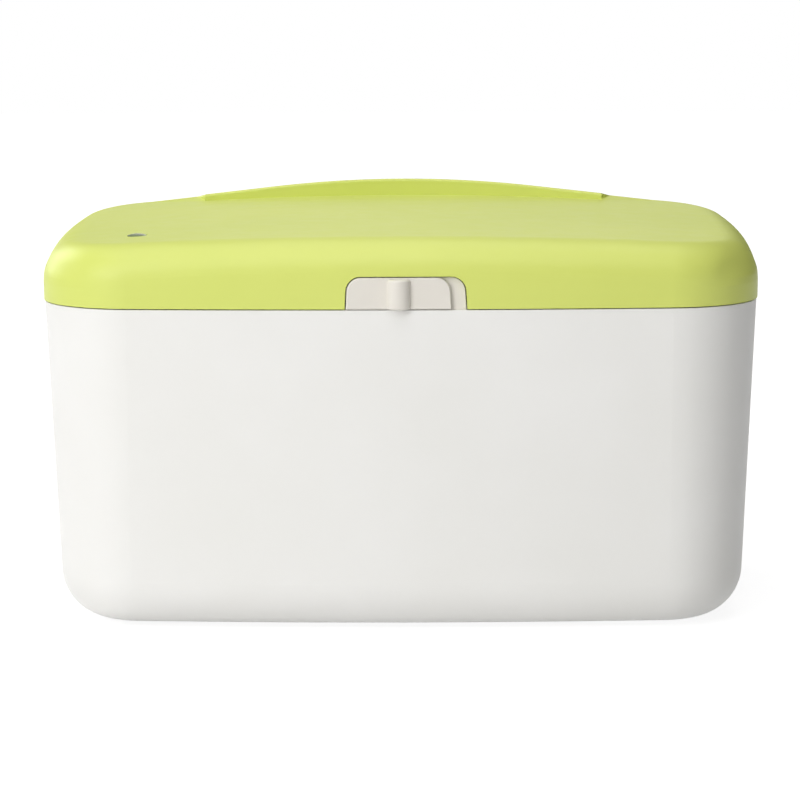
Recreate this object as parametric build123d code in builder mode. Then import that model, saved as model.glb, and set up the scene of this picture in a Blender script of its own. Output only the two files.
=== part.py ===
from build123d import *
from math import cos, radians, sin, tan
import os

# A baby wipe warmer: a drafted tub with an inner liner for the pack of wipes, and a hinged
# lid that carries the heater and is held shut by a sliding latch. Millimetres, +Z up, the
# front faces -Y, and the origin is on the table under the middle of the housing.

# Overall form
lid_width = 222.0  # plan size of the lid at its lower edge
lid_depth = 141.0
corner_radius = 30.0
front_bow = 5.0  # how far the front and back bow out between their corners
side_bow = 0.8
parting_height = 101.2  # top of the body
parting_gap = 0.35  # gap between the lid and the body

# Body
body_step = 0.3  # the body stands in from the lid by this much
body_draft = 2.4  # degrees
body_wall = 3.0
base_rounding = 15.4
foot_height = 1.2

# Lid
lid_wall = 2.4
lid_lean = 0.8  # degrees, the lid's sides lean out to its widest line
lid_waist_height = 8.0  # widest line above the lower edge
lid_draft = 6.0  # degrees, the sides lean back in above it
waist_rounding = 40.0
lid_front_height = 21.4  # above the parting line, where the front rounding ends
lid_rise = 1.15  # degrees, slope of the top towards the back
lid_crown_radius = 1650.0
crown_margin = 15.0  # profile of the crown drawn past the sides
rim_rounding = 11.0

# Arch along the back of the lid, with a roof that falls to the back and a low shoulder at each end
arch_height = 29.3  # crest of the front wall above the parting line
arch_roof_fall = 10.0  # degrees, down to the back
arch_crown_radius = 369.0
arch_crown_half = 44.0  # half-width of the crowned middle
arch_half = 67.0  # half-length of the front wall
arch_front_y = 55.3  # foot of the front wall on the centre line
arch_front_bow = 3.9
arch_tip_x = 73.5  # the wall turns back to here
arch_tip_y = 61.0
arch_tip_width = 5.5
arch_back_gap = 0.6  # the arch's back stands in from the lid's back
arch_front_rounding = 0.8
arch_back_rounding = 2.0
shoulder_foot_y = 49.4  # where the shoulder starts beside the wall's end
shoulder_end_x = 92.0  # where it runs out into the lid
shoulder_end_y = 56.0
shoulder_peak_x = 72.0  # point of its slope on the roof
shoulder_peak_y = 56.5
shoulder_back_y = 64.5

# Hinge, in a bay in the back of the lid and body
hinge_setback = 1.2  # axis inside the middle of the lid's back
knuckle_radius = 3.2
bay_clearance = 0.3
bay_half = 60.0
bay_rise = 7.5  # above the parting line
bay_drop = 11.0  # below the parting line
pin_radius = 1.25
pin_fit = 0.05  # radial running clearance
pin_press = 0.01
pin_bevel = 0.2
knuckle_gap = 0.3
inner_knuckle_start = 30.0
inner_knuckle_length = 8.0
lid_knuckle_length = 11.4
outer_knuckle_length = 8.0
cable_knuckle_length = 11.7
cable_boss_depth = 7.2
cable_boss_wall = 2.2
gusset_drop = 8.0
gusset_rise = 6.0
pin_tail = 17.0  # length of the right-hand pin that carries the spring
spring_wire = 0.45
spring_radius = 2.15
spring_turns = 6.5
spring_clearance = 1.2
leg_radius = 0.4
leg_length = 3.0
leg_gap = 0.3

# Inner tub
rim_land = 1.5  # width of the step that carries the tub's flange
tub_clearance = 0.15
flange_thickness = 2.0
tub_wall = 2.0
tub_side_inset = 11.0  # housing edge to the mouth of the tub
tub_front_inset = 15.0
tub_floor_height = 27.2  # of the tub's floor above the table
tub_draft = 2.6
tub_corner = 20.0
tub_rounding = 9.0

# Underside
plate_half_x = 66.0
plate_half_y = 36.0
plate_corner = 10.0
plate_thickness = 2.0
plate_ledge = 4.0
plate_clearance = 0.2
foot_x = 80.0
foot_y = 39.0
foot_radius = 6.5
foot_recess = 0.6
foot_stem_radius = 1.9
foot_barb = 0.7
foot_bevel = 0.4
foot_fit = 0.1

# Screws and their bosses
screw_radius = 1.5
screw_head_radius = 2.8
screw_head_height = 1.6
screw_fit = 0.05
head_bevel_share = 0.35  # of the head's height
recess_length_share = 1.2  # of the head's radius
recess_width_share = 0.3
recess_depth_share = 0.5  # of the head's height
boss_radius = 3.6
base_screw_x = 52.0
base_screw_y = 26.0
base_screw_length = 12.0
lid_screw_rear_inset = (23.0, 22.5)  # housing edge to the screws near the hinge, in x and y
lid_screw_side_inset = 14.0
lid_screw_side_y = -5.0
lid_screw_front_x = 48.0
lid_screw_front_inset = 20.5
lid_screw_length = 8.0
small_screw_radius = 1.0
small_head_radius = 1.9
small_head_height = 1.0
small_boss_radius = 2.2

# Power inlet
jack_x = 48.0
jack_width = 9.0
jack_height = 9.5
jack_depth = 11.0
jack_nose_radius = 4.2
jack_nose_length = 2.6
jack_bore_radius = 2.9
jack_bore_depth = 9.5
jack_pin_radius = 1.0
jack_pin_recess = 1.0
jack_rounding = 0.6
jack_pin_rounding = 0.5
jack_hole_fit = 0.2
jack_wall_gap = 0.5
board_width = 26.0
board_depth = 18.0
board_thickness = 1.6
board_height = 14.6  # underside of the inlet board above the table
board_post_half = 10.0
board_post_y = 45.0
board_screw_length = 6.0

# Wiring
wire_radius = 0.9
duct_clearance = 0.25
duct_cover = 1.0  # wall between the duct and the end of its boss
cable_x = 6.0  # where the leads turn off the hinge axis
wire_bend = 1.9
wire_turn = 4.0
body_wire_y = 60.8
body_wire_x = 38.0
body_wire_end_y = 54.0
lid_wire_y = 53.0
lid_wire_x = -67.0
wire_gap = 0.1
branch_y = -30.0

# Lid liner and heater
liner_rise = 1.8  # underside of the liner above the parting line
liner_thickness = 1.8
liner_clearance = 0.3
liner_notch_half = 27.5
liner_notch_y = -59.6
plate_x = 60.0
plate_y = 44.0
heater_corner = 6.0
window_lip = 5.0
heater_thickness = 1.2
film_thickness = 0.5
film_margin = 5.3
film_opening = 0.8
pad_opening = 1.6
pad_thickness = 5.0
pad_margin = 3.0
stake_radius = 1.3
stake_inset = 2.6
stake_fit = 0.1
stake_height = 0.8
thermostat_place = (-18.0, 0.0)
thermostat_radius = 6.5
thermostat_height = 3.0
thermostat_cap_radius = 4.2
thermostat_cap_height = 3.0
terminal_spacing = 4.2
terminal_thickness = 1.2
terminal_width = 4.2
terminal_height = 2.0
fuse_place = (22.0, 0.0)
fuse_radius = 1.9
fuse_length = 11.0
fuse_lead_radius = 0.5
fuse_lead_length = 6.0

# Seal
seal_width = 3.2
seal_gap = 0.3
seal_inset = 2.0  # from the tub's mouth to the seal's centre line
seal_tongue_width = 1.4
seal_tongue_height = 0.9
seal_fit = 0.05

# Indicator
lamp_x = -81.4
lamp_y = -39.6
lens_radius = 3.1
lens_fit = 0.1
lens_flange_radius = 4.4
lens_flange_height = 1.6  # at the middle of the lens
lens_seat = 0.05  # gap between the flange and the inside of the lid
lens_dome = 0.6  # middle of the lens above the lid
lens_dome_radius = 8.0
led_radius = 1.5
led_height = 5.2
led_rim = 0.4
led_gap = 0.4
lamp_board_width = 20.0
lamp_board_depth = 30.0
lamp_board_post = 2.2
lamp_board_post_inset = 3.0

# Latch
latch_x = 2.0  # middle of the notch; the shut slider stands near the middle of the lid
notch_half = 18.5
notch_height = 10.2
notch_flare = 3.0  # degrees, each side
notch_corner = 4.6
latch_gap = 0.35  # between the latch and the edge of the notch
latch_recess = 1.5  # face of the base behind the lid's face
latch_base_thickness = 2.4
slider_thickness = 1.3
slider_gap = 0.3
latch_travel = 4.4
rib_half = 3.5
rib_reach = 2.8
rib_rounding = 0.9
slider_bevel = 0.3
bolt_bevel = 0.9
rib_margin = 0.4
slider_peg = 2.4  # length of the peg that carries the bolt
slot_low = 3.2
slot_high = 6.8
stem_half = 4.0
stem_gap = 0.3
bolt_depth = 3.0
bolt_gap = 0.3
bolt_reach = 20.5
bolt_tail = 6.5
tunnel_wall = 1.4
tunnel_start = -11.0
tunnel_end = 15.5
latch_foot_height = 2.0
latch_foot_back = -60.0
latch_tab_end = 25.0
latch_screw_places = [(-13.0, -63.9), (23.0, -63.2)]
latch_screw_length = 6.0
keeper_gap = 0.3  # the bolt's tip stops this short of the keeper's ledge
keeper_rise = 1.1
keeper_height = 1.9
keeper_depth = 3.4
keeper_riser = 1.9
keeper_tab = 9.0
keeper_tab_height = 2.2
keeper_peg_radius = 1.2
keeper_fit = 0.1
latch_coil_radius = 1.15
latch_coil_wire = 0.22
latch_coil_turns = 6

# Values that follow from those above
lid_bottom = parting_height + parting_gap
hinge_y = lid_depth / 2 - hinge_setback
bay_floor = hinge_y - knuckle_radius - bay_clearance
front_face = -lid_depth / 2
back_face = lid_depth / 2
tub_half_x = lid_width / 2 - tub_side_inset
tub_half_y = lid_depth / 2 - tub_front_inset
tub_depth = parting_height - tub_floor_height
seal_x, seal_y = tub_half_x + seal_inset, tub_half_y + seal_inset
seal_corner = tub_corner + seal_inset
lid_rear_x = lid_width / 2 - lid_screw_rear_inset[0]
lid_rear_y = lid_depth / 2 - lid_screw_rear_inset[1]
lid_side_x = lid_width / 2 - lid_screw_side_inset
lid_front_y = lid_screw_front_inset - lid_depth / 2
lid_screw_places = [
    (-lid_rear_x, lid_rear_y),
    (lid_rear_x, lid_rear_y),
    (-lid_side_x, lid_screw_side_y),
    (lid_side_x, lid_screw_side_y),
    (-lid_screw_front_x, lid_front_y),
    (lid_screw_front_x, lid_front_y),
]
liner_bottom = parting_height + liner_rise
liner_top = liner_bottom + liner_thickness
board_top = board_height + board_thickness
jack_z = board_top + jack_height / 2
floor_top = foot_height + body_wall
plate_top = foot_height + plate_thickness
front_latch = front_face + latch_recess
bolt_front = front_latch + latch_base_thickness + bolt_gap
bolt_back = bolt_front + bolt_depth
tall = 60.0  # longer than any height that a cut has to pass


def crown_fall(radius, x):
    """Drop of a crowned surface at x from its middle."""
    return radius - (radius**2 - x**2) ** 0.5


def lid_top(x, y):
    """Height of the lid's top above the table."""
    rise = (y - front_face - rim_rounding) * tan(radians(lid_rise))
    return parting_height + lid_front_height + rise - crown_fall(lid_crown_radius, x)


def roof_side(x):
    """Drop of the arch's roof at x from its middle: crowned, then straight."""
    edge_fall = crown_fall(arch_crown_radius, arch_crown_half)
    side_slope = arch_crown_half / (arch_crown_radius - edge_fall)
    return edge_fall + side_slope * (x - arch_crown_half)


def roof_top(x, y):
    """Height of the arch's roof above the table, past its crowned middle."""
    fall = radians(arch_roof_fall)
    return parting_height + arch_height - roof_side(x) / cos(fall) - (y - arch_front_y) * tan(fall)


def outline(inset):
    """Plan outline of the housing, four bowed sides with round corners, drawn in by inset."""
    x, y = lid_width / 2 - inset, lid_depth / 2 - inset
    corner_x, corner_y = x - side_bow, y - front_bow
    with BuildSketch() as plan:
        with BuildLine():
            ThreePointArc((-corner_x, -corner_y), (0, -y), (corner_x, -corner_y))
            ThreePointArc((corner_x, -corner_y), (x, 0), (corner_x, corner_y))
            ThreePointArc((corner_x, corner_y), (0, y), (-corner_x, corner_y))
            ThreePointArc((-corner_x, corner_y), (-x, 0), (-corner_x, -corner_y))
        make_face()
        fillet(plan.vertices(), radius=corner_radius - inset)
    return plan.sketch


def slab(half_x, half_y, radius):
    """Rectangle with round corners, centred on the origin."""
    with BuildSketch() as plan:
        RectangleRounded(2 * half_x, 2 * half_y, radius)
    return plan.sketch


def bay(grow):
    """Block that the hinge bay takes out of the back, grown by grow on its closed sides."""
    with BuildPart() as block:
        with BuildSketch(Plane.XY.offset(parting_height - bay_drop - grow)):
            with Locations((0, bay_floor - grow)):
                Rectangle(2 * (bay_half + grow), 2 * tall, align=(Align.CENTER, Align.MIN))
        extrude(amount=bay_drop + bay_rise + 2 * grow)
    return block.part


def body_form(inset):
    """Drafted form of the body with its rounded base, drawn in by inset."""
    height = parting_height - foot_height - inset
    with BuildPart() as form:
        with BuildSketch(Plane.XY.offset(parting_height)):
            add(outline(body_step + inset))
        extrude(amount=-height, taper=body_draft)
        fillet(form.faces().sort_by(Axis.Z)[0].edges(), radius=base_rounding - inset)
        add(bay(inset), mode=Mode.SUBTRACT)
    return form.part


def lid_form(inset):
    """Form of the lid, drawn in by inset: leaning sides, crowned top, round rim and arch."""
    slope = radians(lid_rise)
    top_plane = Plane(
        origin=(0, front_face + rim_rounding, parting_height + lid_front_height - inset),
        x_dir=(-1, 0, 0),
        z_dir=(0, cos(slope), sin(slope)),
    )
    with BuildPart() as form:
        with BuildSketch(Plane.XY.offset(lid_bottom)):
            add(outline(inset))
        extrude(amount=lid_waist_height, taper=-lid_lean)
        extrude(form.faces().sort_by(Axis.Z)[-1], amount=tall, taper=lid_draft)
        waist = lid_bottom + lid_waist_height
        waist_edges = form.edges().filter_by_position(Axis.Z, waist - parting_gap, waist + parting_gap)
        fillet(waist_edges, radius=waist_rounding)
        with BuildSketch(top_plane):
            with BuildLine():
                side = lid_width / 2 + crown_margin
                fall = crown_fall(lid_crown_radius, side)
                ThreePointArc((-side, -fall), (0, 0), (side, -fall))
                Polyline((side, -fall), (side, -tall), (-side, -tall), (-side, -fall))
            make_face()
        extrude(amount=lid_depth, both=True, mode=Mode.INTERSECT)
        fillet(form.faces().sort_by(Axis.Z)[-1].edges(), radius=rim_rounding - inset)
        add(arch_shoulders(inset))
        add(arch_form(inset))
        add(bay(inset), mode=Mode.SUBTRACT)
    return form.part


def roof_form(inset):
    """Everything under the arch's roof, which is crowned along X and falls to the back."""
    fall = radians(arch_roof_fall)
    crest_plane = Plane(
        origin=(0, arch_front_y, parting_height + arch_height - inset),
        x_dir=(-1, 0, 0),
        z_dir=(0, cos(fall), -sin(fall)),
    )
    side = lid_width / 2
    edge = (arch_crown_half, -roof_side(arch_crown_half))
    with BuildPart() as prism:
        with BuildSketch(crest_plane):
            with BuildLine():
                ThreePointArc((-edge[0], edge[1]), (0, 0), edge)
                Polyline(edge, (side, -roof_side(side)), (side, -tall))
                Line((side, -tall), (-side, -tall))
                Polyline((-side, -tall), (-side, -roof_side(side)), (-edge[0], edge[1]))
            make_face()
        extrude(amount=lid_depth, both=True)
    return prism.part


def arch_form(inset):
    """Arch that stands along the back of the lid, drawn in by inset."""
    half, tip_x = arch_half - inset, arch_tip_x - inset
    front, back = arch_front_y + inset, back_face - arch_back_gap - inset
    front_end, tip_back = front - arch_front_bow, arch_tip_y + arch_tip_width - inset
    with BuildPart() as arch:
        with BuildSketch(Plane.XY.offset(parting_height + lid_front_height / 2)):
            with BuildLine():
                ThreePointArc((-half, front_end), (0, front), (half, front_end))
                Polyline((half, front_end), (tip_x, arch_tip_y), (tip_x, tip_back))
                ThreePointArc((tip_x, tip_back), (0, back), (-tip_x, tip_back))
                Polyline((-tip_x, tip_back), (-tip_x, arch_tip_y), (-half, front_end))
            make_face()
        extrude(amount=tall)
        add(roof_form(inset), mode=Mode.INTERSECT)
        upper_edges = arch.edges().filter_by_position(Axis.Z, parting_height + lid_front_height, tall**2)
        long_edges = upper_edges.filter_by(lambda edge: abs((edge % 0.5).X) > 0.5)
        middle = (front + back) / 2
        fillet(long_edges.filter_by_position(Axis.Y, 0, middle), arch_front_rounding)
        fillet(long_edges.filter_by_position(Axis.Y, middle, lid_depth), arch_back_rounding)
    return arch.part


def arch_shoulders(inset):
    """Low slopes at the arch's ends, from the lid's top up to the roof, drawn in by inset."""
    foot = (arch_half - inset, shoulder_foot_y + inset)
    end = (shoulder_end_x, shoulder_end_y)
    peak = (shoulder_peak_x, shoulder_peak_y)
    foot_point = Vector(*foot, lid_top(*foot) - inset)
    along = Vector(*end, lid_top(*end) - inset) - foot_point
    across = Vector(*peak, roof_top(*peak) - inset) - foot_point
    with BuildPart() as shoulders:
        with BuildSketch(Plane.XY.offset(parting_height + lid_front_height / 2)):
            with BuildLine():
                Polyline(
                    foot,
                    (shoulder_end_x, foot[1]),
                    (shoulder_end_x, arch_front_y),
                    (arch_tip_x, shoulder_back_y - inset),
                    (foot[0], shoulder_back_y - inset),
                    close=True,
                )
            make_face()
        extrude(amount=tall)
        add(roof_form(inset), mode=Mode.INTERSECT)
        split(bisect_by=Plane(foot_point, x_dir=along, z_dir=along.cross(across)), keep=Keep.BOTTOM)
        mirror(about=Plane.YZ)
    return shoulders.part


def level(inset, low, high):
    """Flat slice of the housing between two heights, drawn in by inset and clear of the bay."""
    with BuildPart() as plate:
        with BuildSketch(Plane.XY.offset(low)):
            add(outline(inset))
        extrude(amount=high - low)
        add(bay(inset), mode=Mode.SUBTRACT)
    return plate.part


def front_plane(y):
    """Upright plane that faces the front at depth y, its origin under the latch's middle."""
    return Plane(origin=(latch_x, y, parting_height), x_dir=(1, 0, 0), z_dir=(0, -1, 0))


def side_plane(x):
    """Upright plane across the hinge axis at x, its origin on the axis and its x towards +Y."""
    return Plane(origin=(x, hinge_y, parting_height), x_dir=(0, 1, 0), z_dir=(1, 0, 0))


def latch_face(half, low, high, corner):
    """Front view of the latch: sides that spread downwards and round top corners."""
    flare = tan(radians(notch_flare))
    with BuildSketch() as view:
        with BuildLine():
            Polyline(
                (low * flare - half, low),
                (half - low * flare, low),
                (half - high * flare, high),
                (high * flare - half, high),
                close=True,
            )
        make_face()
        fillet(view.vertices().group_by(Axis.Y)[-1], radius=corner)
    return view.sketch


def knuckle(start, length, side):
    """Hinge knuckle with its gusset to the bay's floor: side is 1 on the lid, -1 on the body."""
    gap = parting_gap if side > 0 else 0
    reach = gusset_rise if side > 0 else gusset_drop
    root = bay_floor - hinge_y - body_wall / 2
    with BuildPart() as barrel:
        with BuildSketch(side_plane(start)):
            Circle(knuckle_radius)
            with BuildLine():
                Polyline(
                    (0, side * gap),
                    (root, side * gap),
                    (root, side * reach),
                    (0, side * knuckle_radius),
                    close=True,
                )
            make_face()
        extrude(amount=length)
    return barrel.part


def cable_knuckle(start, side):
    """Hollow knuckle that leads the wires across the hinge: side is 1 on the lid."""
    gap = parting_gap if side > 0 else 0
    root = bay_floor - hinge_y - body_wall / 2
    with BuildPart() as barrel:
        with BuildSketch(side_plane(start)):
            Circle(knuckle_radius)
            with BuildLine():
                Polyline(
                    (cable_boss_wall, side * gap),
                    (root, side * gap),
                    (root, side * cable_boss_depth),
                    (cable_boss_wall, side * cable_boss_depth),
                    close=True,
                )
            make_face()
        extrude(amount=cable_knuckle_length)
    return barrel.part


def axle(start, length, radius):
    """Round bar on the hinge axis."""
    with BuildPart() as bar:
        with BuildSketch(side_plane(start)):
            Circle(radius)
        extrude(amount=length)
    return bar.part


def wire(points, bends, radius):
    """Round wire along straight runs joined by arcs."""
    with BuildPart() as tube:
        with BuildLine() as path:
            FilletPolyline(*points, radius=bends)
        with BuildSketch(Plane(origin=path.line @ 0, z_dir=path.line % 0)):
            Circle(radius)
        sweep(path=path.line)
    return tube.part


def screw(radius, head_radius, head_height, length):
    """Screw that points up, with the underside of its cross-recessed head at the origin."""
    with BuildPart() as piece:
        with BuildSketch():
            Circle(head_radius)
        extrude(amount=-head_height)
        chamfer(piece.faces().sort_by(Axis.Z)[0].edges(), length=head_height * head_bevel_share)
        with BuildSketch():
            Circle(radius)
        extrude(amount=length)
        with BuildSketch(Plane.XY.offset(-head_height)):
            long, narrow = head_radius * recess_length_share, head_radius * recess_width_share
            Rectangle(long, narrow)
            Rectangle(narrow, long)
        extrude(amount=head_height * recess_depth_share, mode=Mode.SUBTRACT)
    return piece.part


def coil(radius, wire_size, turns, length):
    """Helical spring along +Z from the origin."""
    with BuildPart() as spring:
        with BuildLine() as path:
            Helix(pitch=length / turns, height=length, radius=radius)
        with BuildSketch(Plane(origin=path.line @ 0, z_dir=path.line % 0)):
            Circle(wire_size)
        sweep(path=path.line, is_frenet=True)
    return spring.part


def posts(places, radius, low, high):
    """Round upright posts between two heights."""
    with BuildPart() as group:
        with BuildSketch(Plane.XY.offset(low)):
            with Locations(*places):
                Circle(radius)
        extrude(amount=high - low)
    return group.part


def tub_form(grow):
    """Drafted hollow of the inner tub with its round bottom edge, grown by grow."""
    with BuildPart() as form:
        with BuildSketch(Plane.XY.offset(parting_height)):
            add(slab(tub_half_x + grow, tub_half_y + grow, tub_corner + grow))
        extrude(amount=-(tub_depth + grow), taper=tub_draft)
        fillet(form.faces().sort_by(Axis.Z)[0].edges(), radius=tub_rounding + grow)
    return form.part


def seal_ring(width, low, high):
    """Ring of the given width along the seal's centre line."""
    with BuildPart() as ring:
        with BuildSketch(Plane.XY.offset(low)):
            add(slab(seal_x + width / 2, seal_y + width / 2, seal_corner + width / 2))
            add(slab(seal_x - width / 2, seal_y - width / 2, seal_corner - width / 2), mode=Mode.SUBTRACT)
        extrude(amount=high - low)
    return ring.part


def beam(start, end, front, back, low, high):
    """Block across the latch: ends from its middle, heights from the parting line."""
    with BuildPart() as block:
        with BuildSketch(Plane.XY.offset(parting_height + low)):
            with Locations((latch_x + start, front)):
                Rectangle(end - start, back - front, align=(Align.MIN, Align.MIN))
        extrude(amount=high - low)
    return block.part


def corners(x, y, centre=(0.0, 0.0)):
    """The four places at plus and minus x and y from the centre."""
    return [(centre[0] + i * x, centre[1] + j * y) for i in (-1, 1) for j in (-1, 1)]


# Places on the hinge axis, from the middle outwards
cable_start = knuckle_gap
lid_knuckle_start = inner_knuckle_start + inner_knuckle_length + knuckle_gap
outer_knuckle_start = lid_knuckle_start + lid_knuckle_length + knuckle_gap
hinge_end = outer_knuckle_start + outer_knuckle_length
spring_start = cable_start + cable_knuckle_length + spring_clearance
spring_length = inner_knuckle_start - spring_clearance - spring_start

# Route of the wires over the hinge, up from the inlet and forward through the lid
duct_drop = cable_boss_depth - wire_radius - duct_clearance - duct_cover
body_route = [
    (-knuckle_gap / 2 - wire_gap, hinge_y, parting_height),
    (-cable_x, hinge_y, parting_height),
    (-cable_x, hinge_y, parting_height - duct_drop),
    (-cable_x, body_wire_y, parting_height - duct_drop),
    (body_wire_x, body_wire_y, parting_height - duct_drop),
    (body_wire_x, body_wire_y, board_top + wire_radius + wire_gap),
    (body_wire_x, body_wire_end_y, board_top + wire_radius + wire_gap),
]
body_bends = [wire_bend, wire_bend, wire_bend, wire_turn, wire_bend]
lid_wire_z = liner_top + wire_radius + wire_gap
lamp_board_bottom = liner_top + lamp_board_post
lamp_board_top = lamp_board_bottom + board_thickness
branch_z = lamp_board_top + wire_radius + wire_gap
lid_route = [
    (knuckle_gap / 2 + wire_gap, hinge_y, parting_height),
    (cable_x, hinge_y, parting_height),
    (cable_x, hinge_y, lid_wire_z),
    (cable_x, lid_wire_y, lid_wire_z),
    (lid_wire_x, lid_wire_y, lid_wire_z),
    (lid_wire_x, branch_y, lid_wire_z),
    (lid_wire_x, branch_y, branch_z),
    (lamp_x, branch_y, branch_z),
]
lid_bends = [wire_bend, wire_bend, wire_turn, wire_turn, wire_bend, wire_bend]

# Inlet: where its axis leaves the drafted back wall
draft_here = (parting_height - jack_z) * tan(radians(body_draft))
bow_here = front_bow * (2 * jack_x / lid_width) ** 2
jack_wall = back_face - body_step - bow_here - draft_here
jack_shoulder = jack_wall - body_wall - jack_wall_gap
jack_nose = jack_shoulder + jack_nose_length

# Outer body
board_screw_places = [(jack_x - board_post_half, board_post_y), (jack_x + board_post_half, board_post_y)]
with BuildPart() as body_posts:
    add(posts(board_screw_places, small_boss_radius, foot_height, board_height))
    add(body_form(body_wall / 2), mode=Mode.INTERSECT)

with BuildPart() as outer_body:
    add(body_form(0))
    add(body_form(body_wall), mode=Mode.SUBTRACT)
    add(level(body_step + rim_land, parting_height - flange_thickness, parting_height), mode=Mode.SUBTRACT)
    with BuildSketch(Plane.XY.offset(foot_height)):
        add(slab(plate_half_x, plate_half_y, plate_corner))
    extrude(amount=plate_thickness, mode=Mode.SUBTRACT)
    with BuildSketch(Plane.XY.offset(foot_height)):
        add(slab(plate_half_x - plate_ledge, plate_half_y - plate_ledge, plate_corner - plate_ledge))
    extrude(amount=body_wall, mode=Mode.SUBTRACT)
    with BuildSketch(Plane.XY.offset(foot_height)):
        with Locations(*corners(foot_x, foot_y)):
            Circle(foot_radius + foot_fit)
    extrude(amount=foot_recess, mode=Mode.SUBTRACT)
    with BuildSketch(Plane.XY.offset(foot_height)):
        with Locations(*corners(foot_x, foot_y)):
            Circle(foot_stem_radius + foot_fit)
    extrude(amount=body_wall, mode=Mode.SUBTRACT)
    add(body_posts.part)
    with Locations(*[(x, y, board_height) for x, y in board_screw_places]):
        Hole(small_screw_radius + screw_fit, depth=board_screw_length)
    with BuildSketch(Plane(origin=(jack_x, jack_wall + body_wall, jack_z), z_dir=(0, 1, 0))):
        Circle(jack_nose_radius + jack_hole_fit)
    extrude(amount=-3 * body_wall, mode=Mode.SUBTRACT)
    for mirror_side in (-1, 1):
        for start, length in (
            (inner_knuckle_start, inner_knuckle_length),
            (outer_knuckle_start, outer_knuckle_length),
        ):
            low_x = start if mirror_side > 0 else -start - length
            add(knuckle(low_x, length, -1))
            add(axle(low_x, length, pin_radius + pin_press), mode=Mode.SUBTRACT)
    add(cable_knuckle(-cable_start - cable_knuckle_length, -1))
    with BuildSketch(side_plane(inner_knuckle_start)):
        with Locations((0, spring_radius)):
            Circle(spring_wire + pin_fit)
    extrude(amount=leg_length, mode=Mode.SUBTRACT)
    add(wire(body_route[:5], body_bends[:3], wire_radius + duct_clearance), mode=Mode.SUBTRACT)

# Inner tub for the wipes, with bosses for the base screws and the latch
boss_bottom = plate_top + screw_head_height
flange_middle = parting_height - flange_thickness / 2
latch_boss_bottom = flange_middle - latch_screw_length - screw_fit
with BuildPart() as inner_tub:
    add(level(body_step + rim_land + tub_clearance, parting_height - flange_thickness, parting_height))
    add(tub_form(tub_wall))
    add(posts(corners(base_screw_x, base_screw_y), boss_radius, boss_bottom, tub_floor_height - tub_wall / 2))
    add(posts(latch_screw_places, small_boss_radius, latch_boss_bottom, flange_middle))
    add(tub_form(0), mode=Mode.SUBTRACT)
    with Locations(*[(x, y, parting_height) for x, y in latch_screw_places]):
        Hole(small_screw_radius + screw_fit, depth=latch_screw_length - latch_foot_height + screw_fit)
    with BuildSketch(Plane.XY.offset(boss_bottom)):
        with Locations(*corners(base_screw_x, base_screw_y)):
            Circle(screw_radius + screw_fit)
    extrude(amount=base_screw_length, mode=Mode.SUBTRACT)

# Underside cover, with raised pads over its sunk screw heads
with BuildPart() as base_plate:
    with BuildSketch(Plane.XY.offset(foot_height)):
        add(slab(plate_half_x, plate_half_y, plate_corner))
        offset(amount=-plate_clearance)
    extrude(amount=plate_thickness)
    with BuildSketch(Plane.XY.offset(plate_top)):
        with Locations(*corners(base_screw_x, base_screw_y)):
            Circle(screw_head_radius + plate_thickness)
    extrude(amount=screw_head_height)
    with BuildSketch(Plane.XY.offset(foot_height)):
        with Locations(*corners(base_screw_x, base_screw_y)):
            Circle(screw_head_radius + screw_fit)
    extrude(amount=plate_thickness, mode=Mode.SUBTRACT)
    with BuildSketch(Plane.XY.offset(foot_height)):
        with Locations(*corners(base_screw_x, base_screw_y)):
            Circle(screw_radius + screw_fit)
    extrude(amount=plate_thickness + screw_head_height, mode=Mode.SUBTRACT)

with BuildPart() as base_screws:
    with Locations(*[(x, y, plate_top) for x, y in corners(base_screw_x, base_screw_y)]):
        add(screw(screw_radius, screw_head_radius, screw_head_height, base_screw_length))

# Rubber feet: a disc in a shallow recess and a barbed stem through the floor
with BuildPart() as one_foot:
    with BuildSketch(Plane.XZ):
        with BuildLine():
            Polyline(
                (0, 0),
                (foot_radius - foot_bevel, 0),
                (foot_radius, foot_bevel),
                (foot_radius, foot_height + foot_recess),
                (foot_stem_radius, foot_height + foot_recess),
                (foot_stem_radius, floor_top),
                (foot_stem_radius + foot_barb, floor_top),
                (foot_stem_radius, floor_top + 2 * foot_barb),
                (0, floor_top + 2 * foot_barb),
                close=True,
            )
        make_face()
    revolve(axis=Axis.Z)

with BuildPart() as rubber_feet:
    with Locations(*corners(foot_x, foot_y)):
        add(one_foot.part)

# Power inlet on its board
with BuildPart() as dc_jack:
    with BuildSketch(Plane(origin=(jack_x, jack_shoulder, jack_z), z_dir=(0, 1, 0))):
        Rectangle(jack_width, jack_height)
    extrude(amount=-jack_depth)
    fillet(dc_jack.edges().filter_by(Axis.Y), radius=jack_rounding)
    with BuildSketch(Plane(origin=(jack_x, jack_shoulder, jack_z), z_dir=(0, 1, 0))):
        Circle(jack_nose_radius)
    extrude(amount=jack_nose_length)
    with BuildSketch(Plane(origin=(jack_x, jack_nose, jack_z), z_dir=(0, 1, 0))):
        Circle(jack_bore_radius)
    extrude(amount=-jack_bore_depth, mode=Mode.SUBTRACT)

with BuildPart() as jack_pin:
    with BuildSketch(Plane(origin=(jack_x, jack_nose - jack_bore_depth, jack_z), z_dir=(0, 1, 0))):
        Circle(jack_pin_radius)
    extrude(amount=jack_bore_depth - jack_pin_recess)
    fillet(jack_pin.faces().sort_by(Axis.Y)[-1].edges(), radius=jack_pin_rounding)

board_y = board_post_y - small_boss_radius + board_depth / 2
with BuildPart() as jack_board:
    with BuildSketch(Plane.XY.offset(board_height)):
        with Locations((jack_x, board_y)):
            Rectangle(board_width, board_depth)
        with Locations(*board_screw_places):
            Circle(small_screw_radius + screw_fit, mode=Mode.SUBTRACT)
    extrude(amount=board_thickness)

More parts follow.
